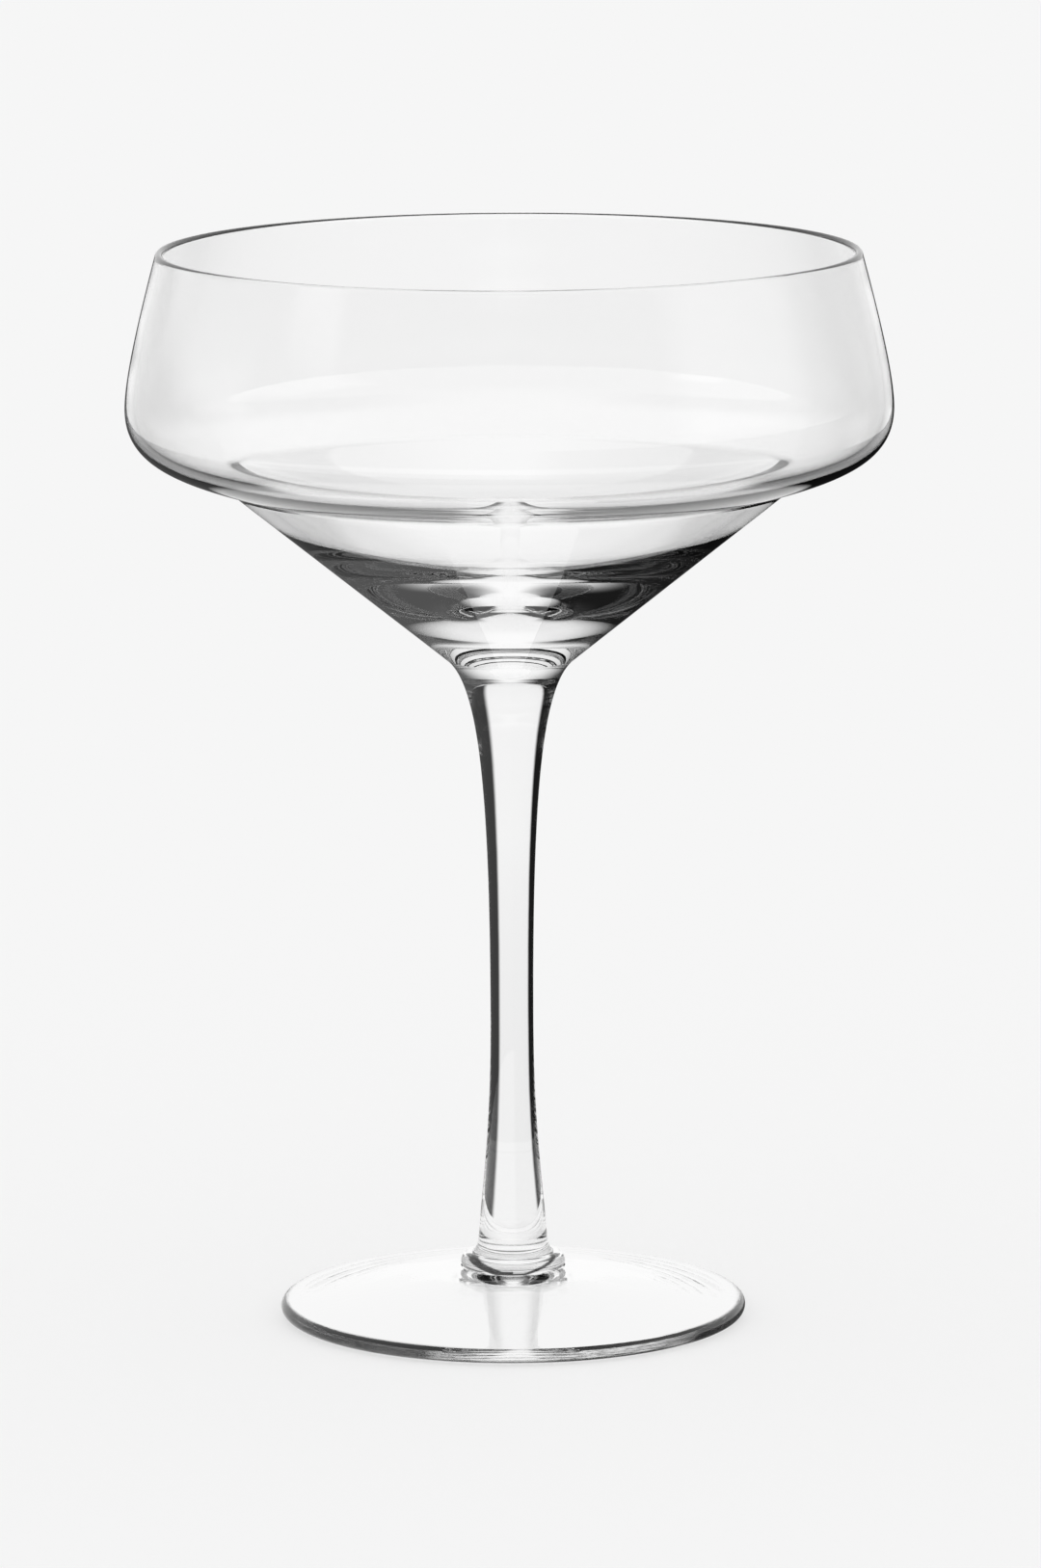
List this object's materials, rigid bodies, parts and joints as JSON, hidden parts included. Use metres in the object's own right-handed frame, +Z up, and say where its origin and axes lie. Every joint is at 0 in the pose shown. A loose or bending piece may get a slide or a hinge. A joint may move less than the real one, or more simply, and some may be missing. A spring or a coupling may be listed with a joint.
{
  "type": "martini glass",
  "caption": "Stemmed martini glass: a shouldered bowl with an inward-leaning wall and a cone below, on a drawn stem, a collar and a round foot.",
  "frame": {"origin": "on the axis, in the plane that the foot stands on", "axes": "+Z up along the glass's axis from the foot to the rim; +X and +Y are horizontal and equivalent, because every piece is round"},
  "size_m": [0.1206, 0.1206, 0.17],
  "materials": {
    "clear_glass": "clear, blown and fire-polished",
    "worked_glass": "clear, shaped hot with tools, faintly rippled"
  },
  "bodies": {
    "root": {"bowl": "clear_glass", "stem": "clear_glass", "collar": "worked_glass", "foot": "worked_glass"}
  },
  "joints": []
}
